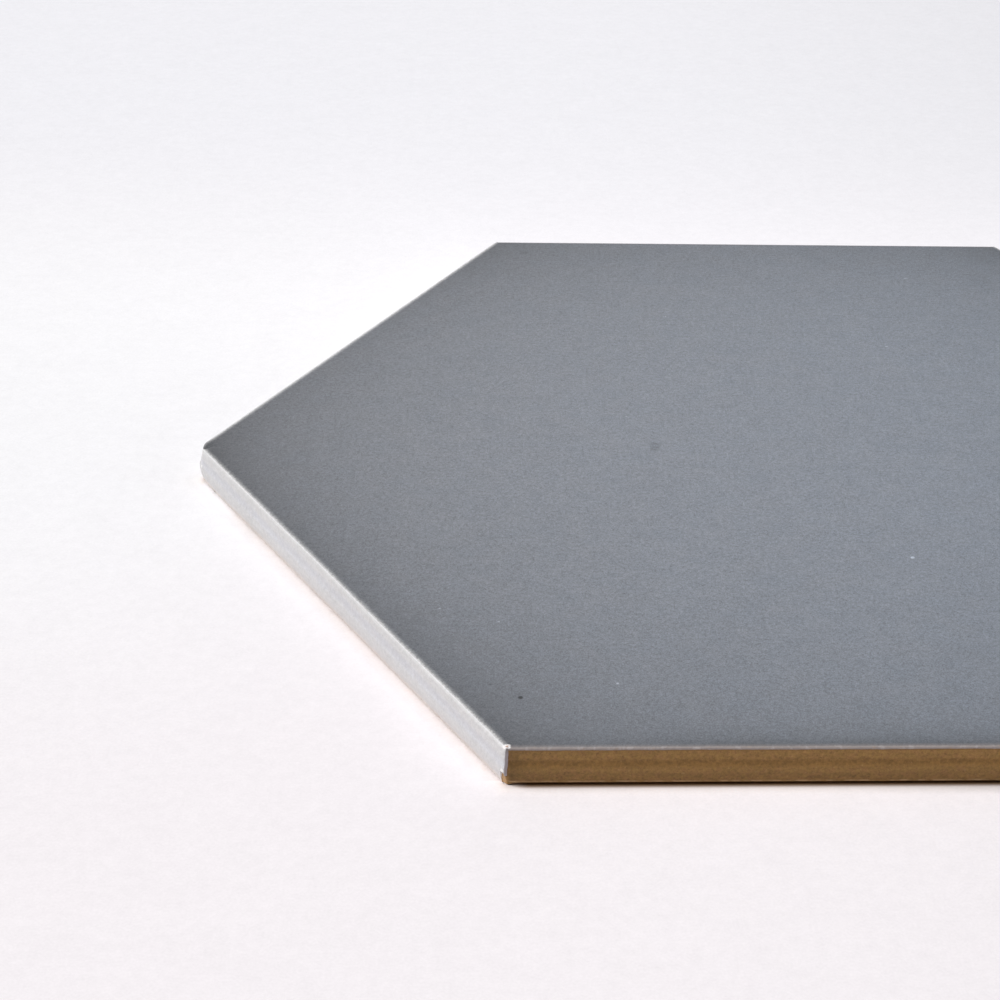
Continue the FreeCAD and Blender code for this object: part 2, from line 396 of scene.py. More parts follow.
# %% The honeycomb
def honeycomb_graph():
    graph, given = geometry_graph("press_honeycomb", {
        "Hollow": "Object", "Pitch": "Float", "Rings": "Int", "Material": "Material"})
    across = given["Rings"] * 2 + 1
    index = graph.node("GeometryNodeInputIndex")
    column = index % across - given["Rings"]
    row = graph.math("FLOOR", index / across) - given["Rings"]
    place = graph.node("ShaderNodeCombineXYZ", {}, {
        "X": (column + row * 0.5) * given["Pitch"], "Y": row * given["Pitch"] * COS30})
    lattice = graph.node("GeometryNodePoints", {}, {"Count": across * across, "Position": place})
    whole = graph.node("GeometryNodeDeleteGeometry", {"domain": "POINT"}, {
        "Geometry": lattice, "Selection": abs(column + row) > (given["Rings"] + 0.5)})
    piece = graph.node("GeometryNodeObjectInfo", {}, {"Object": given["Hollow"]}, "Geometry")
    pressed = graph.node("GeometryNodeInstanceOnPoints", {}, {
        "Points": whole, "Instance": piece, "Rotation": (0, 0, TURN / 2)})
    close_geometry(graph, pressed, given["Material"])
    return graph


hollow_piece = in_scene("hollow", hollow)
honeycomb = grow(honeycomb_graph(), bpy.data.meshes.new("lattice"), {
    "Hollow": hollow_piece, "Pitch": CELL_PITCH, "Rings": CELL_RINGS, "Material": tile_finish})
bpy.data.objects.remove(hollow_piece)
HOLLOWS = len(honeycomb.vertices) // len(hollow.vertices)
print(HOLLOWS, "hollows in the honeycomb")

# %% [markdown]
# ## Joining it to one skin
# The swept pieces have open rings, and flat triangles close them: the face, the border of the back, the
# bedding plane between the hollows, and the bottom of each hollow. A Delaunay triangulation does it well,
# because it takes the rings as they are and makes no point of its own. Each flat part uses the ring
# points again, so the skin is closed without any merging.

# %% The skin
def read(items, name, width=1, kind=np.float32):
    """A property of all points, faces or corners of a mesh, in one array."""
    flat = np.zeros(len(items) * width, kind)
    items.foreach_get(name, flat)
    return flat if width == 1 else flat.reshape(-1, width).astype(float)


def places_of(mesh):
    return read(mesh.vertices, "co", 3)


class Skin:
    """Points and faces of the whole tile, in one numbering."""

    def __init__(self):
        self.places = np.zeros((0, 3))
        self.faces = []

    def add_points(self, places):
        first = len(self.places)
        self.places = np.concatenate((self.places, places))
        return np.arange(first, first + len(places))

    def add_mesh(self, mesh):
        """Adds a mesh and returns the numbers of its points."""
        numbers = self.add_points(places_of(mesh))
        self.faces += [[int(numbers[v]) for v in face.vertices] for face in mesh.polygons]
        return numbers

    def fill(self, rings, loose=(), up=True):
        """Flat triangles from the outer ring to the rings inside it, through the loose points.

        A triangle whose corners all lie on one ring is inside it if they follow each other round it."""
        numbers = np.concatenate([*rings, np.array(loose, int)])
        owner = np.concatenate([np.full(len(ring), i) for i, ring in enumerate(rings)]
                               + [np.full(len(loose), -1)])
        seat = np.concatenate([np.arange(len(ring)) for ring in rings] + [np.zeros(len(loose), int)])
        flat = [Vector(place) for place in self.places[numbers, :2]]
        edges = []
        for i in range(len(rings)):
            members = np.flatnonzero(owner == i).tolist()
            edges += list(zip(members, members[1:] + members[:1]))
        _, _, triangles, source, _, _ = delaunay_2d_cdt(flat, edges, [], 0, 1e-8, True)
        for triangle in triangles:
            a, b, c = (source[v][0] for v in triangle)
            ring = owner[a]
            if ring >= 0 and ring == owner[b] == owner[c]:
                count = len(rings[ring])
                way_round = sum((seat[q] - seat[p]) % count for p, q in ((a, b), (b, c), (c, a)))
                if (way_round == count) != (ring == 0):
                    continue
            face = [int(numbers[v]) for v in (a, b, c)]
            self.faces.append(face if up else face[::-1])


def ring_of(numbers, section, row):
    """One row of a swept piece, all the way round."""
    return numbers.reshape(-1, len(section))[:, row]


skin = Skin()
band = skin.add_mesh(SIDE_BAND)
face_ring = ring_of(band, SECTION, 0)
border_ring = ring_of(band, SECTION, -1)
wall = skin.add_mesh(field_wall)
cells = skin.add_mesh(honeycomb).reshape(HOLLOWS, -1)
print("swept parts:", len(skin.places), "points")

# %% [markdown]
# The face needs points of its own, because it is not quite flat. They lie in three rings close inside the
# arris and then on an even lattice.

# %% Points on the face
SIDE_ANGLES = TURN * (np.arange(6) + 0.5)
SIDE_NORMALS = np.column_stack((np.cos(SIDE_ANGLES), np.sin(SIDE_ANGLES)))
FACE_HALF = HALF_ACROSS + SECTION[0, 0]
INNER_RINGS = (
    # distance inside the edge of the face, and how many points of that edge there are to one of the ring
    (0.35 * MM, 1), (0.9 * MM, 2), (1.8 * MM, 3))
LATTICE_PITCH = 1.9 * MM
LATTICE_MARGIN = 4.2 * MM


def inset(places):
    """How far points lie inside the widest outline, square to the nearest side."""
    return HALF_ACROSS - (places[:, :2] @ SIDE_NORMALS.T).max(axis=1)


def rings_inside_arris():
    """Copies of the face's ring, drawn in towards the middle and thinned out."""
    ring = skin.places[face_ring]
    nearest = SIDE_NORMALS[(ring[:, :2] @ SIDE_NORMALS.T).argmax(axis=1)]
    found = []
    for depth, thinned in INNER_RINGS:
        drawn_in = ring[::thinned].copy()
        drawn_in[:, :2] -= depth * nearest[::thinned]
        found.append(drawn_in[inset(drawn_in) > inset(ring[:1])[0] + depth * 0.9])
    return np.concatenate(found)


def lattice_on_face():
    count = int(ACROSS_FLATS / LATTICE_PITCH)
    column, row = np.meshgrid(np.arange(-count, count + 1), np.arange(-count, count + 1))
    x = LATTICE_PITCH * (column + 0.5 * (row % 2))
    y = LATTICE_PITCH * COS30 * row
    places = np.column_stack((x.ravel(), y.ravel(), np.full(x.size, THICKNESS)))
    return places[inset(places) > LATTICE_MARGIN]


near_arris = skin.add_points(rings_inside_arris())
middle = skin.add_points(lattice_on_face())
before_face = len(skin.faces)
skin.fill([face_ring], np.concatenate((near_arris, middle)))
after_face = len(skin.faces)
skin.fill([border_ring, ring_of(wall, FIELD_SECTION, 0)], up=False)
skin.fill([ring_of(wall, FIELD_SECTION, -1)] + [ring_of(cell, CELL_SECTION, 0) for cell in cells], up=False)
for cell in cells:
    skin.fill([ring_of(cell, CELL_SECTION, -1)], up=False)
print("skin:", len(skin.places), "points,", len(skin.faces), "faces")

# %% [markdown]
# ## Where the glaze ends
# The glaze is sprayed on from above. On the two bare sides it reaches just round the arris, and on the
# other four it runs down to the lower arris. At a corner it creeps a little round onto the bare side, and
# it misses the undercut at the foot of the corner. One number says all this: the distance from the edge
# of the glaze, positive where there is glaze. It shapes the step at that edge and is stored on the mesh,
# so that the colours change at the same line. Lengths here are millimetres. Sides and corners are
# numbered anticlockwise: side 0 faces right and back, and corner 0 points right. A ripple is its height
# times noise of a size and a seed, and an ease of (height - 2.5) / 4 starts at 2.5 mm and takes 4 mm.

# %% Places round the outline
RIGHT_BACK, BACK, LEFT_BACK, FRONT = 0, 1, 2, 4
BARE_SIDES = (BACK, FRONT)
WORN_CORNERS = (0, 3)
CORE_HALF = (HALF_ACROSS - CORNER_RADIUS) / MM
CORE_RUN = CORE_HALF * TAN30
SEED_SHIFT = 7.31


def round_outline(places):
    """For each point: its side, the corner next to it, how far off that corner's middle it is, whether its
    side is bare, and how far out the sides would meet if the corner weren't rounded.

    The distance follows the widest line and is negative on a glazed side and positive on a bare one."""
    flat = places[:, :2] / MM
    side = (flat @ SIDE_NORMALS.T).argmax(axis=1)
    normal = SIDE_NORMALS[side]
    tangent = np.column_stack((-normal[:, 1], normal[:, 0]))
    slide = (flat * tangent).sum(axis=1)
    reach = np.maximum((flat * normal).sum(axis=1) - CORE_HALF, 1e-6)
    past_run = np.maximum(np.abs(slide) - CORE_RUN, 0)
    swing = np.arctan2(past_run, reach)
    gap = CORNER_RADIUS / MM * (TURN / 2 - swing) + np.maximum(CORE_RUN - np.abs(slide), 0)
    corner = (side + (slide > 0)) % 6
    bare = np.isin(side, BARE_SIDES)
    to_point = np.hypot(reach, past_run) * (1 / np.cos(np.minimum(swing, TURN / 2)) - 1)
    return side, corner, np.where(bare, gap, -gap), bare, to_point


def ripple(places, size, seed=0):
    """Smooth noise between about -1 and 1 whose features are so many millimetres across."""
    return np.array([noise.noise(Vector(place)) for place in places / (size * MM) + seed * SEED_SHIFT])


def ease(value):
    """0 below 0, 1 above 1 and a smooth step between."""
    value = np.clip(value, 0, 1)
    return value * value * (3 - 2 * value)


side, corner, off_corner, bare, to_point = round_outline(skin.places)
worn_corner = np.isin(corner, WORN_CORNERS)
print("points on bare sides:", int(bare.sum()))


# %% The edge of the glaze
GLAZE_LINE = 7.45
GLAZE_FOOT = 0.45
FOOT_MISSED = 0.5
CREEP_TOP = 0.42
CREEP_FOOT = 0.32
CREEP_ENDS = 2.5
NOTCH_HEIGHT = 3.15
NOTCH_WIDTH_AT_BARE = 0.75
NOTCH_WIDENING = 0.5
NOTCH_WIDTH_ELSEWHERE = 1.3


def glaze_distance(places):
    """The signed distance from the edge of the glaze."""
    height = places[:, 2] / MM
    over_line = height - GLAZE_LINE - 0.05 * ripple(places, 6) - 0.06 * ripple(places, 1.4, 1)
    creep = CREEP_FOOT + (CREEP_TOP - CREEP_FOOT) * ease((height - 2.5) / 4) + 0.05 * ripple(places, 0.9, 2)
    creep_foot = CREEP_ENDS + 0.4 * ripple(places, 1.5, 3)
    on_bare = np.maximum(over_line, np.minimum(creep - off_corner, height - creep_foot))
    wider_below = NOTCH_WIDTH_AT_BARE + NOTCH_WIDENING * ease((3.0 - height) / 2.4)
    notch_width = np.where(worn_corner, NOTCH_WIDTH_ELSEWHERE, wider_below) + 0.1 * ripple(places, 2, 4)
    notch = ease((off_corner + notch_width) / 0.2 + 0.5)
    foot = GLAZE_FOOT + 0.06 * ripple(places, 2.5, 5) + 0.05 * ripple(places, 0.7, 6)
    foot = foot + FOOT_MISSED * ease((ripple(places, 1.2, 7) - 0.5) / 0.15)
    on_glazed = height - (foot + (NOTCH_HEIGHT - foot) * notch)
    return np.where(bare, on_bare, on_glazed)


flat_back = skin.places[:, 2] < RIM_HEIGHT * 1.0001
glaze = glaze_distance(skin.places)
glaze[flat_back] = -1.0
print(f"glaze reaches {glaze.max():.2f} mm from its edge; {int((glaze > 0).sum())} points are glazed")

# %% [markdown]
# ## The thickness of the glaze and the wear
# The pressed body is exact, and the glaze on it is not. It is thick on the glazed sides, most of all on
# the left one at the back, thin on the arris, and rounded at its edge. It makes three corners sharper
# than the body, is worn away at the left and right ones, and has small beads where it gathered. All of it
# is laid on along the normals of the skin, which Blender works out from the faces.

# %% Laying the glaze on
GLAZED_SIDE_BUILD = 0.38
LEFT_BACK_BUILD = 0.50
BAND_BUILD = 0.08
FOOT_THINNING = 0.2
EDGE_WIDTH = 0.22
WORN_AT_EDGE = 0.3
WORN_ABOVE = 0.48
FACE_SWELL = 0.012
SIDE_TEXTURE = 0.008
SHARPENING = np.array((0.0, 0.1, 0.0, 0.0, 0.75, 0.5))


def skin_mesh(name):
    """The skin as it is now, as a mesh."""
    mesh = bpy.data.meshes.new(name)
    mesh.from_pydata([tuple(place) for place in skin.places], [], skin.faces)
    mesh.update()
    return mesh


def near_corner(width):
    """1 at the middle of a corner and less and less beside it."""
    return np.exp(-(off_corner / width) ** 2)


pressed_skin = skin_mesh("pressed_skin")
normals = read(pressed_skin.vertex_normals, "vector", 3)
height = skin.places[:, 2] / MM
below_face = ease((THICKNESS / MM - height) / 0.5)
upright = np.hypot(normals[:, 0], normals[:, 1])
near_bare = ease((off_corner + 0.1) / 0.4)
thicker = (LEFT_BACK_BUILD - GLAZED_SIDE_BUILD) * (side == LEFT_BACK) * (1 - near_corner(2.0) * worn_corner)
side_build = GLAZED_SIDE_BUILD + thicker
side_build = side_build * (1 - near_bare) + BAND_BUILD * near_bare
side_build = side_build - FOOT_THINNING * ease((2.2 - height) / 1.6) * (1 - near_bare)
build = side_build * below_face * ease(glaze / EDGE_WIDTH + 0.2) * (1 + 0.06 * ripple(skin.places, 9, 8))
build = build + to_point * (SHARPENING[corner] * ease((height - 1.0) / 1.8))
worn_edge = near_corner(1.3) * ease(glaze / EDGE_WIDTH)
worn_high = near_corner(np.where(side == LEFT_BACK, 1.6, 1.3)) * ease((height - 4.6) / 2.2)
build = build - np.where(worn_corner, WORN_AT_EDGE * worn_edge + WORN_ABOVE * worn_high, 0)
build = build + SIDE_TEXTURE * ripple(skin.places, 1.6, 9) * upright
swell = FACE_SWELL * (ripple(skin.places, 22, 10) + 0.5 * ripple(skin.places, 7, 11)) * (1 - upright)
swell[flat_back] = 0
build[flat_back] = 0
print(f"glaze up to {build.max():.2f} mm thick")

# %% Beads at the corners
BEADS = (
    # corner, distance from its middle, height, how far it stands out, radius
    (4, -0.3, 3.5, 0.24, 0.32), (3, -2.05, 4.3, 0.16, 0.28), (2, -0.45, 3.3, 0.18, 0.32),
    (0, -0.3, 3.4, 0.14, 0.3), (5, -0.45, 3.4, 0.2, 0.3), (1, -0.45, 3.3, 0.2, 0.3))


def bead(which, off, up, stands, radius):
    """A small mound at a corner."""
    away = np.hypot(off_corner - off, height - up)
    return np.where(corner == which, stands * np.exp(-(away / radius) ** 2), 0)


beads = sum(bead(*row) for row in BEADS)
build = build + beads
skin.places = skin.places + normals * ((build + swell) * MM)[:, None]
print(len(BEADS), "beads laid on")

# %% [markdown]
# At the foot the glaze rolls over the lower arris almost to the floor, and at the corners the foot is
# rounded off and drawn in a little.

# %% The foot
FOOT_ROLL = 0.45
CORNER_ROLL = 1.25
CORNER_FOOT = 0.14

rolled_side = (1 - near_bare) * ease(glaze / EDGE_WIDTH + 0.8)
rolled = np.maximum(rolled_side, CORNER_ROLL * near_corner(np.where(bare, 1.1, 1.8)))
roll = FOOT_ROLL * ease((1.0 - height) / 0.4) * rolled
roll[flat_back] = 0
skin.places[:, 2] = np.maximum(skin.places[:, 2] - roll * MM, 0)
pull = CORNER_FOOT * near_corner(1.0) * ease((2.4 - height) / 1.6) * MM
pull[len(band):] = 0
skin.places[:, 0] -= pull * np.cos(TURN * corner)
skin.places[:, 1] -= pull * np.sin(TURN * corner)
print(f"foot rolled down by up to {roll.max():.2f} mm")

# %% The edge of the grey coat
GREY_REACH = 0.48
GREY_REACH_BARE = 0.47
GREY_REACH_BEHIND = 0.58
GREY_RUN_AT_WORN = 0.8


def down_section(places):
    """How far down the section a point lies from the edge of the flat face, in millimetres."""
    before_edge = (HALF_ACROSS - FACE_HALF - inset(places)) / MM
    turned = np.arccos(np.clip((places[:, 2] - (THICKNESS - ARRIS_RADIUS)) / ARRIS_RADIUS, 0, 1))
    below_arris = np.maximum(THICKNESS - ARRIS_RADIUS - places[:, 2], 0) / MM
    return np.where(before_edge < -1e-3, before_edge, turned * ARRIS_RADIUS / MM + below_arris)


pressed_places = places_of(pressed_skin)
down = down_section(pressed_places)
behind = np.isin(side, (RIGHT_BACK, LEFT_BACK))
reach = np.where(behind, GREY_REACH_BEHIND, GREY_REACH)
reach = reach + (GREY_REACH_BARE - reach) * near_bare
reach = reach + GREY_RUN_AT_WORN * near_corner(2.5) * (worn_corner & behind)
grey = reach - down + 0.07 * ripple(pressed_places, 0.9, 12) + 0.05 * ripple(pressed_places, 3, 13)
print("grey coat on", int((grey > 0).sum()), "points")

# %% [markdown]
# ## A map for baking
# When the finish is baked to an image, each part of the surface needs its own place in that image. The
# face gets the most room, each side is a long strip, and the back, which ends up bedded in adhesive,
# takes what is left. Plain projections do for all three, because each part is nearly flat.

# %% The map for baking
IMAGE = 1024
GAP = 8
FACE_PIXELS = 2.9
STRIP_ALONG, STRIP_ACROSS = 8.0, 5.2
BACK_PIXELS = 1.25


def lay_out_for_baking(mesh):
    """Gives every corner of every face its place in the baked image."""
    point = read(mesh.loops, "vertex_index", 1, np.int32)
    corners = read(mesh.polygons, "loop_total", 1, np.int32)
    middle = read(mesh.polygons, "center", 3)
    nearest = (middle[:, :2] @ SIDE_NORMALS.T).argmax(axis=1)
    numbers = np.repeat(np.arange(len(corners)), corners)
    x, y = (skin.places[point, :2] / MM).T
    half = ACROSS_FLATS / MM / 2
    wide = half / COS30
    face_map = np.column_stack((x + wide, y + half)) * FACE_PIXELS + GAP
    right = 2 * wide * FACE_PIXELS + 2 * GAP
    back_map = np.column_stack((y + half, x + wide)) * BACK_PIXELS + (right, GAP)
    strip = nearest[numbers]
    along = y * SIDE_NORMALS[strip, 0] - x * SIDE_NORMALS[strip, 1]
    lengths = np.concatenate(([0], np.cumsum(np.hypot(*np.diff(SECTION, axis=0).T)))) / MM
    row = point % len(SECTION)
    base = 2 * half * FACE_PIXELS + 2 * GAP + strip * (lengths[-1] * STRIP_ACROSS + GAP)
    start = GAP + (along + wide / 2 + 0.5) * STRIP_ALONG
    side_map = np.column_stack((start, base + lengths[row] * STRIP_ACROSS))
    is_side = numbers < len(SIDE_BAND.polygons)
    is_face = (numbers >= before_face) & (numbers < after_face)
    placed = np.where(is_side[:, None], side_map, np.where(is_face[:, None], face_map, back_map)) / IMAGE
    mesh.uv_layers.new(name="OFBake").data.foreach_set("uv", placed.astype(np.float32).ravel())
    print("map for baking from", placed.min(axis=0).round(3), "to", placed.max(axis=0).round(3))


# %% The tile as one object
# On the back the distance is stored without its sign, so that the foot of a glazed side, painted paler as
# light, ends there.
mesh = skin_mesh("hexagon_tile_fired")
off_corner = np.where(flat_back, np.abs(off_corner), off_corner)
CARRIED = {"glaze": glaze, "grey": grey, "down": down, "off_corner": off_corner, "bead": beads}
for name, values in CARRIED.items():
    mesh.attributes.new(name, "FLOAT", "POINT").data.foreach_set("value", values.astype(np.float32))
mesh.materials.append(tile_finish)
mesh.shade_smooth()
mesh.set_sharp_from_angle(angle=math.radians(35))
lay_out_for_baking(mesh)
tile = in_scene("hexagon_tile_fired", mesh)

check = bmesh.new()
check.from_mesh(mesh)
print("open edges", sum(1 for e in check.edges if len(e.link_faces) != 2),
      f"volume {check.calc_volume(signed=True) * 1e6:.1f} cm3,",
      "triangles", sum(len(f.verts) - 2 for f in check.faces))
check.free()

# %% [markdown]
# ## The finish
# One material covers the tile, because its three surfaces meet along ragged lines: the satin blue-grey
# coat, the pale glaze below it and the bare clay. Each gets its own colour first, and the last cell lays
# them over one another. They read the place on the tile in millimetres and the values that the mesh
# carries. A step gives the two values between which it goes from 0 to 1, and a grain its size, its detail
# and its seed.

# %% Helpers for the finish
def grain(place, size, detail, seed):
    """Noise from -0.5 to 0.5 whose features are so many millimetres across."""
    moved = place.graph.vector("ADD", place, (seed, seed * 2, -seed))
    return place.graph.node("ShaderNodeTexNoise", {"noise_dimensions": "3D"}, {
        "Vector": moved, "Scale": 1 / size, "Detail": detail, "Roughness": 0.5}, "Fac") - 0.5


def step(value, low, high):
    """A smooth step from 0 at one value to 1 at another, either way round."""
    return value.graph.node("ShaderNodeMapRange", {"interpolation_type": "SMOOTHSTEP"}, {
        "Value": value, "From Min": low, "From Max": high}, "Result")


def blend(share, first, second):
    """The first colour, with a share of the second laid over it."""
    return share.graph.node("ShaderNodeMix", {"data_type": "RGBA"}, {
        "Factor_Float": share, "A_Color": first, "B_Color": second}, "Result_Color")


def shader_graph(owner):
    """The shader tree of a material or a world, emptied."""
    owner.use_nodes = True
    owner.node_tree.nodes.clear()
    return Graph(owner.node_tree)


finish = shader_graph(tile_finish)
glaze_here, grey_here, down_here, off_here, bead_here = (
    finish.node("ShaderNodeAttribute", {"attribute_name": name}, {}, "Fac") for name in CARRIED)
millimetres = scaled(finish.node("ShaderNodeTexCoord", {}, {}, "Object"), 1 / MM)
x, y, z = (finish.node("ShaderNodeSeparateXYZ", {}, {"Vector": millimetres}, axis) for axis in "XYZ")
print("values carried by the mesh:", *CARRIED)

# %% [markdown]
# ## The grey coat
# The satin coat is finely speckled and drifts from a neutral grey on the left to a bluer one on the right.
# Towards its edges it is painted darker as shade, in a wide strip and a close one, and more along the
# front. Four sizes of noise and a fade along each side give that without an image.

# %% Grey coat
GREY_LEFT = (0.2257, 0.2371, 0.2656, 1)
GREY_RIGHT = (0.1873, 0.2154, 0.2613, 1)
EDGE_SHADE = (
    # for each side: how much painted shade close to its edge, and how much over a wider strip
    (0.1, 0.277), (0.0, 0.277), (0.07, 0.277), (0.19, 0.277), (0.0, 0.207), (0.19, 0.277))
CLOSE_STRIP = 6.0
WIDE_STRIP = 28.0
FRONT_STRIP = 2.7


def fade(side_number, reach):
    """1 at a side's widest line, and less and less towards the middle of the face."""
    angle = TURN * (side_number + 0.5)
    inside = HALF_ACROSS / MM - x * math.cos(angle) - y * math.sin(angle)
    return math.e ** (inside / -reach)


# painted shade: the coat is painted darker towards each edge of the face, and more along the front edge
depth = 1
for side_number, (close, wide) in enumerate(EDGE_SHADE):
    depth = depth - fade(side_number, CLOSE_STRIP) * close - fade(side_number, WIDE_STRIP) * wide
depth = depth - fade(FRONT, FRONT_STRIP) * (0.1 + step(x, -60, -15) * 0.4)
fine = grain(millimetres, 0.28, 1, 3)
coarse = grain(millimetres, 0.8, 1, 8)
broad = grain(millimetres, 2.5, 1, 12)
cloud = grain(millimetres, 18, 2, 5)
grey_shade = depth * (1 + fine * 1.3 + coarse * 0.66 + broad * 0.24 + cloud * 0.05)
tint = x / 240 + 0.5 + grain(millimetres, 6, 2, 1) * 0.5
grey_colour = scaled(blend(tint, GREY_LEFT, GREY_RIGHT), grey_shade)
print("nodes so far:", len(finish.tree.nodes))

# %% Spots in the grey coat
SPOTS = (
    # column and row in the picture, radius in millimetres, lighter or darker
    (655.2, 444.6, 1.2, 0.76), (655.0, 448.4, 1.1, 0.78), (654.8, 445.4, 0.45, 1.12),
    (520.0, 697.0, 0.46, 0.1), (489.5, 684.0, 0.3, 0.6), (524.6, 252.0, 0.9, 0.78),
    (912.0, 557.0, 0.4, 2.5), (617.0, 683.0, 0.3, 2.2), (498.0, 621.0, 0.25, 1.9),
    (439.0, 608.0, 0.25, 1.6), (905.0, 278.0, 0.4, 1.45), (886.0, 346.0, 0.35, 1.7))
SPECK_SPACING = 11.0
SPECK_RADIUS = 0.10

for column, row, radius, shade in SPOTS:
    spot = (*(on_face(column, row) / MM),)
    away = finish.vector("DISTANCE", millimetres, spot, output="Value")
    grey_colour = scaled(grey_colour, 1 + step(away, radius * 1.3, radius * 0.6) * (shade - 1))
speck_cells = {"Vector": millimetres, "Scale": 1 / SPECK_SPACING}
to_speck = finish.node("ShaderNodeTexVoronoi", {}, speck_cells, "Distance") * SPECK_SPACING
cell_colour = finish.node("ShaderNodeTexVoronoi", {}, speck_cells, "Color")
draw = finish.node("ShaderNodeSeparateColor", {}, {"Color": cell_colour}, "Red")
speck = step(to_speck - draw * 0.16, SPECK_RADIUS, 0.0)
grey_colour = scaled(grey_colour, 1 + speck * (draw * 1.3 - 0.35))
print(len(SPOTS), "spots, and specks some", SPECK_SPACING, "mm apart")

# %% [markdown]
# ## The pale glaze
# The pale glaze has a painted highlight right below the edge of the grey coat, and a bluer lane along the
# middle of the side, painted darker as the shade of the waist. At the foot, where it is thin, it has a warm
# tone, painted a little lighter as bounce light from the floor. Along the worn corners it is painted
# darker, for the wear and as shade. On a bare side only a thin band of it is left, painted darker as shade,
# through which the brown of the body shows in patches. Where it creeps round a corner onto a bare side it
# is painted as pale glaze in shade, and the beads are painted white as their highlight.

# %% Pale glaze
PALE = (0.555, 0.549, 0.553, 1)
PALE_BLUE_SHADED = (0.53, 0.532, 0.562, 1)
PALE_HIGHLIGHT = (0.735, 0.732, 0.755, 1)
PALE_WARM_AND_BOUNCE = (0.605, 0.556, 0.53, 1)
WORN_EDGE_AND_SHADE = (0.5, 0.455, 0.44, 1)
CREEP_IN_SHADE = (0.4, 0.35, 0.37, 1)
SCUFF = (0.23, 0.18, 0.16, 1)
BEAD_HIGHLIGHT = (0.8, 0.79, 0.78, 1)
THIN_BAND_SHADED = (0.265, 0.229, 0.22, 1)
BLOBS = (0.327, 0.29, 0.285, 1)
BAND_BROWN = (0.3, 0.22, 0.17, 1)
LANE_HEIGHT = 5.2
HIGHLIGHT_PLACE = 0.70

streak = grain(finish.vector("MULTIPLY", millimetres, (0.05, 0.05, 1.0)), 0.5, 2, 51)
blush = grain(millimetres, 1.3, 2, 57)
# painted shade: a bluer lane, painted darker where the waist is in shade
shaded_lane = step(abs(z - LANE_HEIGHT + cloud * 1.5), 1.5, 0.3)
pale_colour = blend(shaded_lane * 0.9, PALE, PALE_BLUE_SHADED)
at_worn = step(abs(y), 8, 4)
wash = math.e ** (abs(off_here) / -2.0) * at_worn * 1.2
# warmer where the glaze is thin at the foot, and painted a little lighter there as bounce light from the
# floor
foot_warmth_and_bounce = step(z + blush * 1.6 - wash, 1.9, 0.7)
pale_colour = blend(foot_warmth_and_bounce, pale_colour, PALE_WARM_AND_BOUNCE)
# painted highlight along the arris, right below the grey coat
painted_highlight = step(abs(down_here - HIGHLIGHT_PLACE + fine * 0.2), 0.12, 0.02)
pale_colour = blend(painted_highlight, pale_colour, PALE_HIGHLIGHT)
pale_colour = scaled(pale_colour, 1 + streak * 0.10 + coarse * 0.24 + fine * 0.30 + cloud * 0.08)
pale_colour = blend(step(blush, -0.1, 0.35) * 0.22, pale_colour, PALE_WARM_AND_BOUNCE)
# darker along the worn corners, for the thinner glaze there and as painted shade
pale_colour = blend(step(abs(off_here), 0.55, 0.15) * at_worn, pale_colour, WORN_EDGE_AND_SHADE)
foot_specks = step(grain(millimetres, 0.5, 1, 59), 0.2, 0.26) * step(z, 1.5, 0.9)
pale_colour = blend(foot_specks * 0.7, pale_colour, SCUFF)
# the thin band on a bare side, painted darker as shade, with patches of brown body showing through
band_colour = blend(step(grain(millimetres, 1.1, 2, 53), 0.04, 0.16), THIN_BAND_SHADED, BLOBS)
band_colour = blend(step(grain(millimetres, 0.9, 2, 63), 0.12, 0.25) * 0.5, band_colour, BAND_BROWN)
# painted shade: where the glaze creeps round a corner it is painted as pale glaze in shade
band_colour = blend(step(down_here, 1.2, 1.7), band_colour, CREEP_IN_SHADE)
is_thin = step(off_here, -0.1, 0.15)
pale_colour = blend(is_thin, pale_colour, band_colour)
# painted highlight: the beads are painted white
pale_colour = blend(step(bead_here, 0.04, 0.11), pale_colour, BEAD_HIGHLIGHT)
print("nodes so far:", len(finish.tree.nodes))

# %% [markdown]
# ## The bare clay
# Pressed clay is not one brown. It has redder patches, light and dark grit and smears from the die. In the
# waist it takes an olive tone and is painted darker as shade, it is painted darker as shade towards the
# floor and beside the corners, and a painted light line runs along the lower arris. Where the glaze missed
# the foot of a glazed side the clay is painted paler as light, and the bedding plane keeps some of the
# kiln's wash.

# %% Bare clay
CLAY = (0.29, 0.166, 0.0535, 1)
CLAY_RED = (0.318, 0.16, 0.066, 1)
CLAY_PALE_AND_LIT = (0.46, 0.3, 0.16, 1)
CLAY_DARK = (0.2, 0.105, 0.04, 1)
CLAY_OLIVE_SHADE = (0.238, 0.127, 0.038, 1)
CLAY_WEDGE_LIT = (0.48, 0.3, 0.155, 1)
KILN_WASH = (0.52, 0.42, 0.3, 1)
OLIVE_SHADE_HEIGHT = 4.8
FOOT_LIGHT_HEIGHT = 0.96

body_grain = grain(millimetres, 0.6, 2, 31)
smear = grain(finish.vector("MULTIPLY", millimetres, (0.25, 0.25, 1.0)), 1.2, 2, 35)
clay_colour = blend(step(grain(millimetres, 1.2, 2, 33), -0.12, 0.2) * 0.5, CLAY, CLAY_RED)
# painted shade: darker in the waist, with an olive tone
clay_colour = blend(step(abs(z - OLIVE_SHADE_HEIGHT + body_grain * 0.5), 1.1, 0.2), clay_colour, CLAY_OLIVE_SHADE)
light_grit = step(grain(millimetres, 0.5, 1, 37), 0.16, 0.26)
dark_grit = step(grain(millimetres, 0.45, 1, 39), 0.12, 0.24)
clay_colour = blend(light_grit * 0.25, clay_colour, CLAY_PALE_AND_LIT)
clay_colour = blend(dark_grit * 0.7, clay_colour, CLAY_DARK)
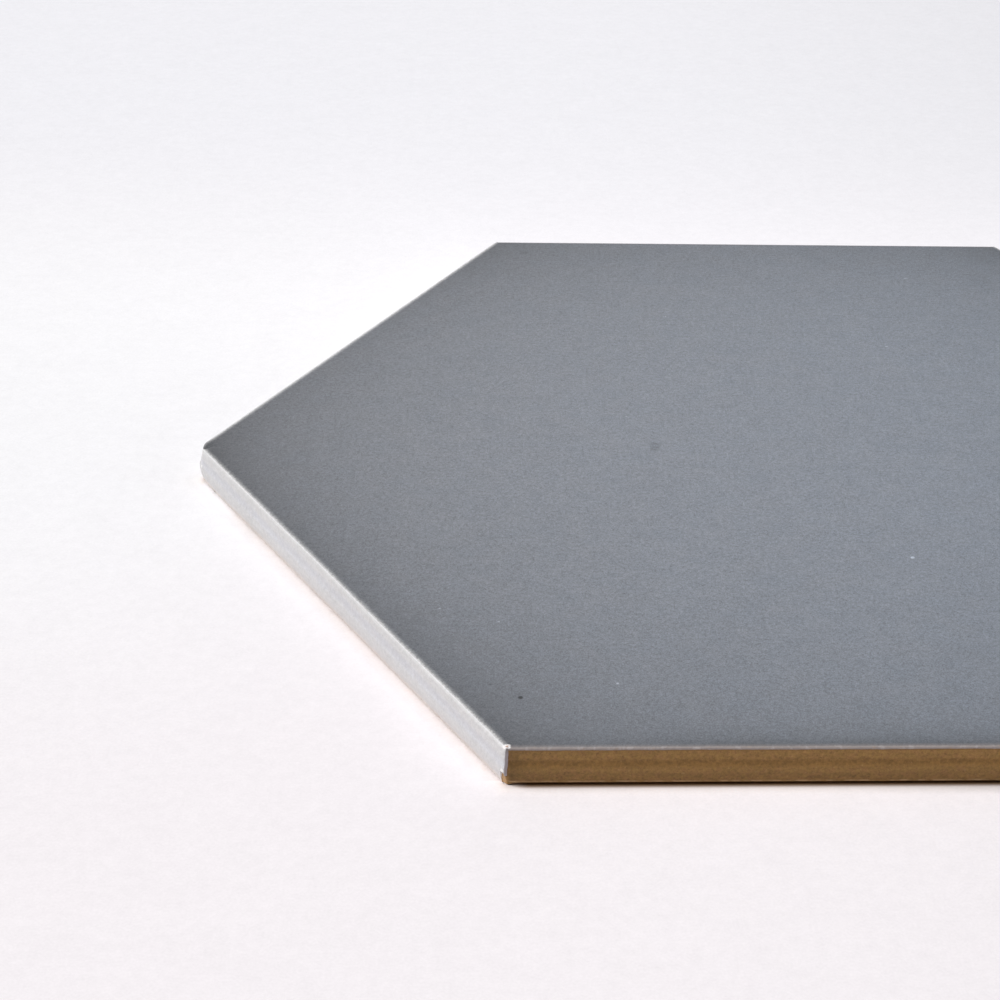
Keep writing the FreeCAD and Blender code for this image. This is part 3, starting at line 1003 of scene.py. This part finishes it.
# painted shade: the clay is painted darker towards the floor and beside the corners
corner_shade = math.e ** (abs(off_here) / -2.0) * 0.40 * step(off_here, 0.3, 1.2)
corner_shade = corner_shade + math.e ** (abs(off_here) / -10.0) * 0.08
pressed = 1 - step(z, 3.6, 2.5) * 0.16 - corner_shade * step(z, 0.62, 0.9)
mottled = 1 + body_grain * 0.9 + fine * 0.5 + smear * 0.35 + cloud * 0.06
clay_colour = scaled(clay_colour, pressed * mottled)
# painted light: a lighter line along the lower arris, as lit by the floor
foot_painted_light = step(abs(z - FOOT_LIGHT_HEIGHT), 0.24, 0.06)
foot_painted_light = foot_painted_light * step(grain(millimetres, 2.2, 3, 45), -0.12, 0.12)
clay_colour = blend(foot_painted_light * 0.9, clay_colour, CLAY_PALE_AND_LIT)
# painted light: bare clay on a glazed side is painted paler
clay_colour = blend(step(off_here, 0.15, -0.35) * step(z, 0.1, 0.3), clay_colour, CLAY_WEDGE_LIT)
dusted = step(z, 0.22, 0.03) * step(grain(millimetres, 9, 4, 71), -0.22, 0.18)
clay_colour = blend(dusted * 0.45, clay_colour, KILN_WASH)
print("nodes so far:", len(finish.tree.nodes))

# %% [markdown]
# ## The chip
# A small chip broke out of the arris at the front corner. It is finer than the mesh, so it is two colours
# round a point: a white rim of broken glaze, and the clay in its heart.

# %% The chip at the front corner
CHIP_WHITE = (0.86, 0.83, 0.83, 1)
CHIP_HEART = (0.48, 0.32, 0.25, 1)
CHIP_PIXEL = (506.3, 745.6)
CHIP_HEIGHT = 7.92
CHIP_SQUEEZE = (0.7, 1, 1)

chip = Vector((*(on_face(*CHIP_PIXEL).xy / MM), CHIP_HEIGHT))
beside_chip = finish.vector("MULTIPLY", finish.vector("SUBTRACT", millimetres, chip), CHIP_SQUEEZE)
from_chip = finish.vector("LENGTH", beside_chip, output="Value") + grain(millimetres, 0.5, 2, 61) * 0.5
print("chip at", [round(v, 2) for v in chip], "mm")

# %% [markdown]
# ## Putting the finish together
# The stored distances say where each glaze ends, and a little noise makes the edges ragged. Along the
# edge of the glaze the clay is painted dark, as the shade under its step. Glaze is smoother than clay, and
# a faint relief gives both their bite.

# %% Putting the finish together
glaze_edge = glaze_here + grain(millimetres, 0.3, 2, 41) * 0.12
is_glazed = step(glaze_edge, -0.03, 0.03)
grey_edge = grey_here + grain(millimetres, 0.4, 2, 43) * (0.6 - is_thin * 0.35)
is_grey = step(grey_edge, -0.12, 0.2) * 0.6 + step(grey_edge, 0.0, 0.9) * 0.4
# painted shade: the clay is painted dark along the edge of the glaze, under its step
painted_edge_shade = step(abs(glaze_edge + 0.1), 0.12, 0.03) * (1 - is_glazed)
painted_edge_shade = painted_edge_shade * step(z, 0.9, 1.4) * step(off_here, -0.3, 0.0)
clay_colour = blend(painted_edge_shade * 0.8, clay_colour, CLAY_DARK)
colour = blend(is_glazed, clay_colour, blend(is_grey, pale_colour, grey_colour))
colour = blend(step(from_chip, 0.6, 0.42), colour, CHIP_WHITE)
colour = blend(step(from_chip, 0.34, 0.22), colour, CHIP_HEART)
roughness = 0.88 - is_glazed * (0.42 - is_grey * 0.05) + fine * 0.1
relief = (fine * 0.03 + coarse * 0.1) * is_glazed + body_grain * 0.06 * (1 - is_glazed)
bump = finish.node("ShaderNodeBump", {}, {"Height": relief, "Distance": MM, "Strength": 1.0}, "Normal")
surface = finish.node("ShaderNodeBsdfPrincipled", {}, {
    "Base Color": colour, "Roughness": roughness, "Normal": bump, "IOR": 1.45})
finish.node("ShaderNodeOutputMaterial", {}, {"Surface": surface})
print("finish:", len(finish.tree.nodes), "nodes")

# %% [markdown]
# ## Floor
# The tile lies on pale paper, a touch warmer near the camera and cooler behind, with a painted pool of
# light at the left. Beside the tile the paper is painted warmer and darker as bounce light and shade from
# the clay. It has a painted glow behind, painted shade at the left, a painted shadow under the overhang of
# the bare sides and painted contact shadows along them, is painted lighter beside the glazed sides and
# painted darker towards the right and the back, as the light falls off. Far away it turns into the white
# background, for camera rays alone. The distance to the outline is the largest of three numbers, one for
# each pair of sides.

# %% Floor
FLOOR_HALF = 15.0
FLOOR_NEAR = (0.925, 0.885, 0.912, 1)
FLOOR_FAR = (0.89, 0.885, 0.925, 1)
FLOOR_LIT_LEFT = (0.945, 0.938, 0.962, 1)
FLOOR_BOUNCE_SHADE = (0.93, 0.85, 0.81, 1)
FLOOR_RUST = (0.8, 0.56, 0.42, 1)
FLOOR_UNDER_SHADOW = (0.3, 0.19, 0.11, 1)
FLOOR_FADE = (0.6, 2.5)
LEFT_LIGHT_PATCH = (-170, 40, 0)

floor_mesh = bpy.data.meshes.new("floor")
floor_corners = [(FLOOR_HALF * right, FLOOR_HALF * back, 0)
                 for right, back in ((-1, -1), (1, -1), (1, 1), (-1, 1))]
floor_mesh.from_pydata(floor_corners, [], [(0, 1, 2, 3)])
floor = in_scene("floor", floor_mesh)
floor_paper = bpy.data.materials.new("floor_paper")
floor_mesh.materials.append(floor_paper)
paper = shader_graph(floor_paper)
paper_place = paper.node("ShaderNodeTexCoord", {}, {}, "Object")
paper_mm = scaled(paper_place, 1 / MM)
paper_x, paper_y = (paper.node("ShaderNodeSeparateXYZ", {}, {"Vector": paper_mm}, axis) for axis in "XY")
across = [abs(paper_x * math.cos(angle) + paper_y * math.sin(angle)) for angle in SIDE_ANGLES[:3]]
farthest = paper.math("MAXIMUM", paper.math("MAXIMUM", across[0], across[1]), across[2])
beside_tile = farthest - HALF_ACROSS / MM
at_bare = step(abs(paper_y), 106.0, 106.5)
between_corners = step(abs(paper_x), 62.5, 58)
past_corner = step(paper_x, -121, -114)
behind = step(paper_y, 20, 110)
print("floor", 2 * FLOOR_HALF, "m across")

# %% Colour of the floor
paper_colour = blend(step(paper_y, -80, 250), FLOOR_NEAR, FLOOR_FAR)
# painted pool of light on the paper at the left
beside = paper.vector("DISTANCE", paper_mm, LEFT_LIGHT_PATCH, output="Value")
paper_colour = blend(step(beside, 170, 30), paper_colour, FLOOR_LIT_LEFT)
# painted bounce light and shade: the paper beside the tile is painted warmer and darker
bounce_shade = step(beside_tile, 3.0, 0.0) * 0.4 * past_corner
paper_colour = blend(bounce_shade, paper_colour, FLOOR_BOUNCE_SHADE)
crumbs = step(grain(paper_mm, 1.4, 3, 9) - beside_tile * 0.15, -0.02, 0.16) * past_corner
crumbs = crumbs * (1 - at_bare) * step(beside_tile, -0.6, -0.1)
paper_colour = blend(crumbs * 0.1, paper_colour, FLOOR_RUST)
# painted shadow under the overhang of the bare sides
paper_colour = blend(step(beside_tile, 0.6, -0.65) * at_bare * between_corners, paper_colour, FLOOR_UNDER_SHADOW)
# painted light and shade: a glow behind the tile, shade beside it at the left, and darker towards the right
# and the back
painted_glow = math.e ** (beside_tile / -40.0) * behind * 0.12
painted_dimming = math.e ** (beside_tile / -8.0) * step(paper_x, -20, -110) * (1 - behind) * 0.10
level = 1.0 + painted_glow - painted_dimming - step(paper_x, -60, 160) * 0.082 - step(paper_y, 60, 340) * 0.012
# painted contact shadows along the bare sides, and painted light beside the glazed sides
painted_contact_shadow = step(beside_tile, 3.2, 0.8) * at_bare * (0.10 - step(paper_x, -18, 45) * 0.24)
painted_contact_shadow = painted_contact_shadow + step(beside_tile, 1.8, 0.0) * at_bare * step(paper_x, -54, -61) * 0.10
painted_lift = step(beside_tile, 2.2, 0.0) * (1 - at_bare) * (0.16 - past_corner * 0.08)
paper_colour = scaled(paper_colour, level + painted_contact_shadow + painted_lift)
tooth = grain(paper_mm, 0.5, 2, 2) * 0.12 + grain(paper_mm, 2.0, 2, 4) * 0.08
tooth = tooth + grain(paper_mm, 7.0, 2, 6) * 0.05
paper_colour = scaled(paper_colour, 1 + tooth)
seen = paper.node("ShaderNodeLightPath", {}, {}, "Is Camera Ray")
far = paper.vector("LENGTH", paper_place, output="Value")
matt = paper.node("ShaderNodeBsdfDiffuse", {}, {"Color": paper_colour})
white = paper.node("ShaderNodeEmission", {}, {"Color": (1, 1, 1, 1), "Strength": 1.0})
mixed = paper.node("ShaderNodeMixShader", {}, {0: step(far, *FLOOR_FADE) * seen, 1: matt, 2: white})
paper.node("ShaderNodeOutputMaterial", {}, {"Surface": mixed})
print("floor paper:", len(paper.tree.nodes), "nodes")

# %% [markdown]
# ## Light
# Two broad lamps light the tile at a plain level: a window at the left, and a wide one overhead. Their
# shares and that of the sky add up to about one, so a colour on a level surface renders as it is written.
# The sky is full white only for rays that look at it, straight or by way of a gloss, and lights the tile
# much less.

# %% World
AMBIENT = 0.10
world = bpy.data.worlds.new("studio")
bpy.context.scene.world = world
sky = shader_graph(world)
camera_ray, glossy_ray, through_ray = (
    sky.node("ShaderNodeLightPath", {}, {}, f"Is {kind} Ray")
    for kind in ("Camera", "Glossy", "Transmission"))
shows = (camera_ray + glossy_ray + through_ray) > 0.5
strength = AMBIENT + shows * (1 - AMBIENT)
sky_light = sky.node("ShaderNodeBackground", {}, {"Color": (1, 1, 1, 1), "Strength": strength})
sky.node("ShaderNodeOutputWorld", {}, {"Surface": sky_light})
print("sky gives", AMBIENT, "of the light")


# %% Lamps
def soft_sun(name, azimuth, elevation, share, spread, colour):
    """A broad distant lamp that gives this share of full light on a level surface."""
    lamp = bpy.data.lights.new(name, "SUN")
    up = math.radians(elevation)
    turn = math.radians(azimuth)
    lamp.energy = share * math.pi / math.sin(up)
    lamp.angle = math.radians(spread)
    lamp.color = colour
    made = in_scene(name, lamp)
    towards = Vector((math.cos(turn) * math.cos(up), math.sin(turn) * math.cos(up), math.sin(up)))
    made.rotation_mode = "QUATERNION"
    made.rotation_quaternion = towards.to_track_quat("Z", "Y")
    made.location = towards


soft_sun("window", azimuth=185, elevation=36, share=0.46, spread=35, colour=(1.0, 0.99, 0.98))
soft_sun("overhead", azimuth=90, elevation=89, share=0.45, spread=45, colour=(0.99, 0.995, 1.0))
print("lamps:", *(lamp.name for lamp in bpy.data.lights))
bpy.context.scene.view_settings.view_transform = "Standard"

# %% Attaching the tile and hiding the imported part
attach(tile, "root")
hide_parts("hexagon_tile")
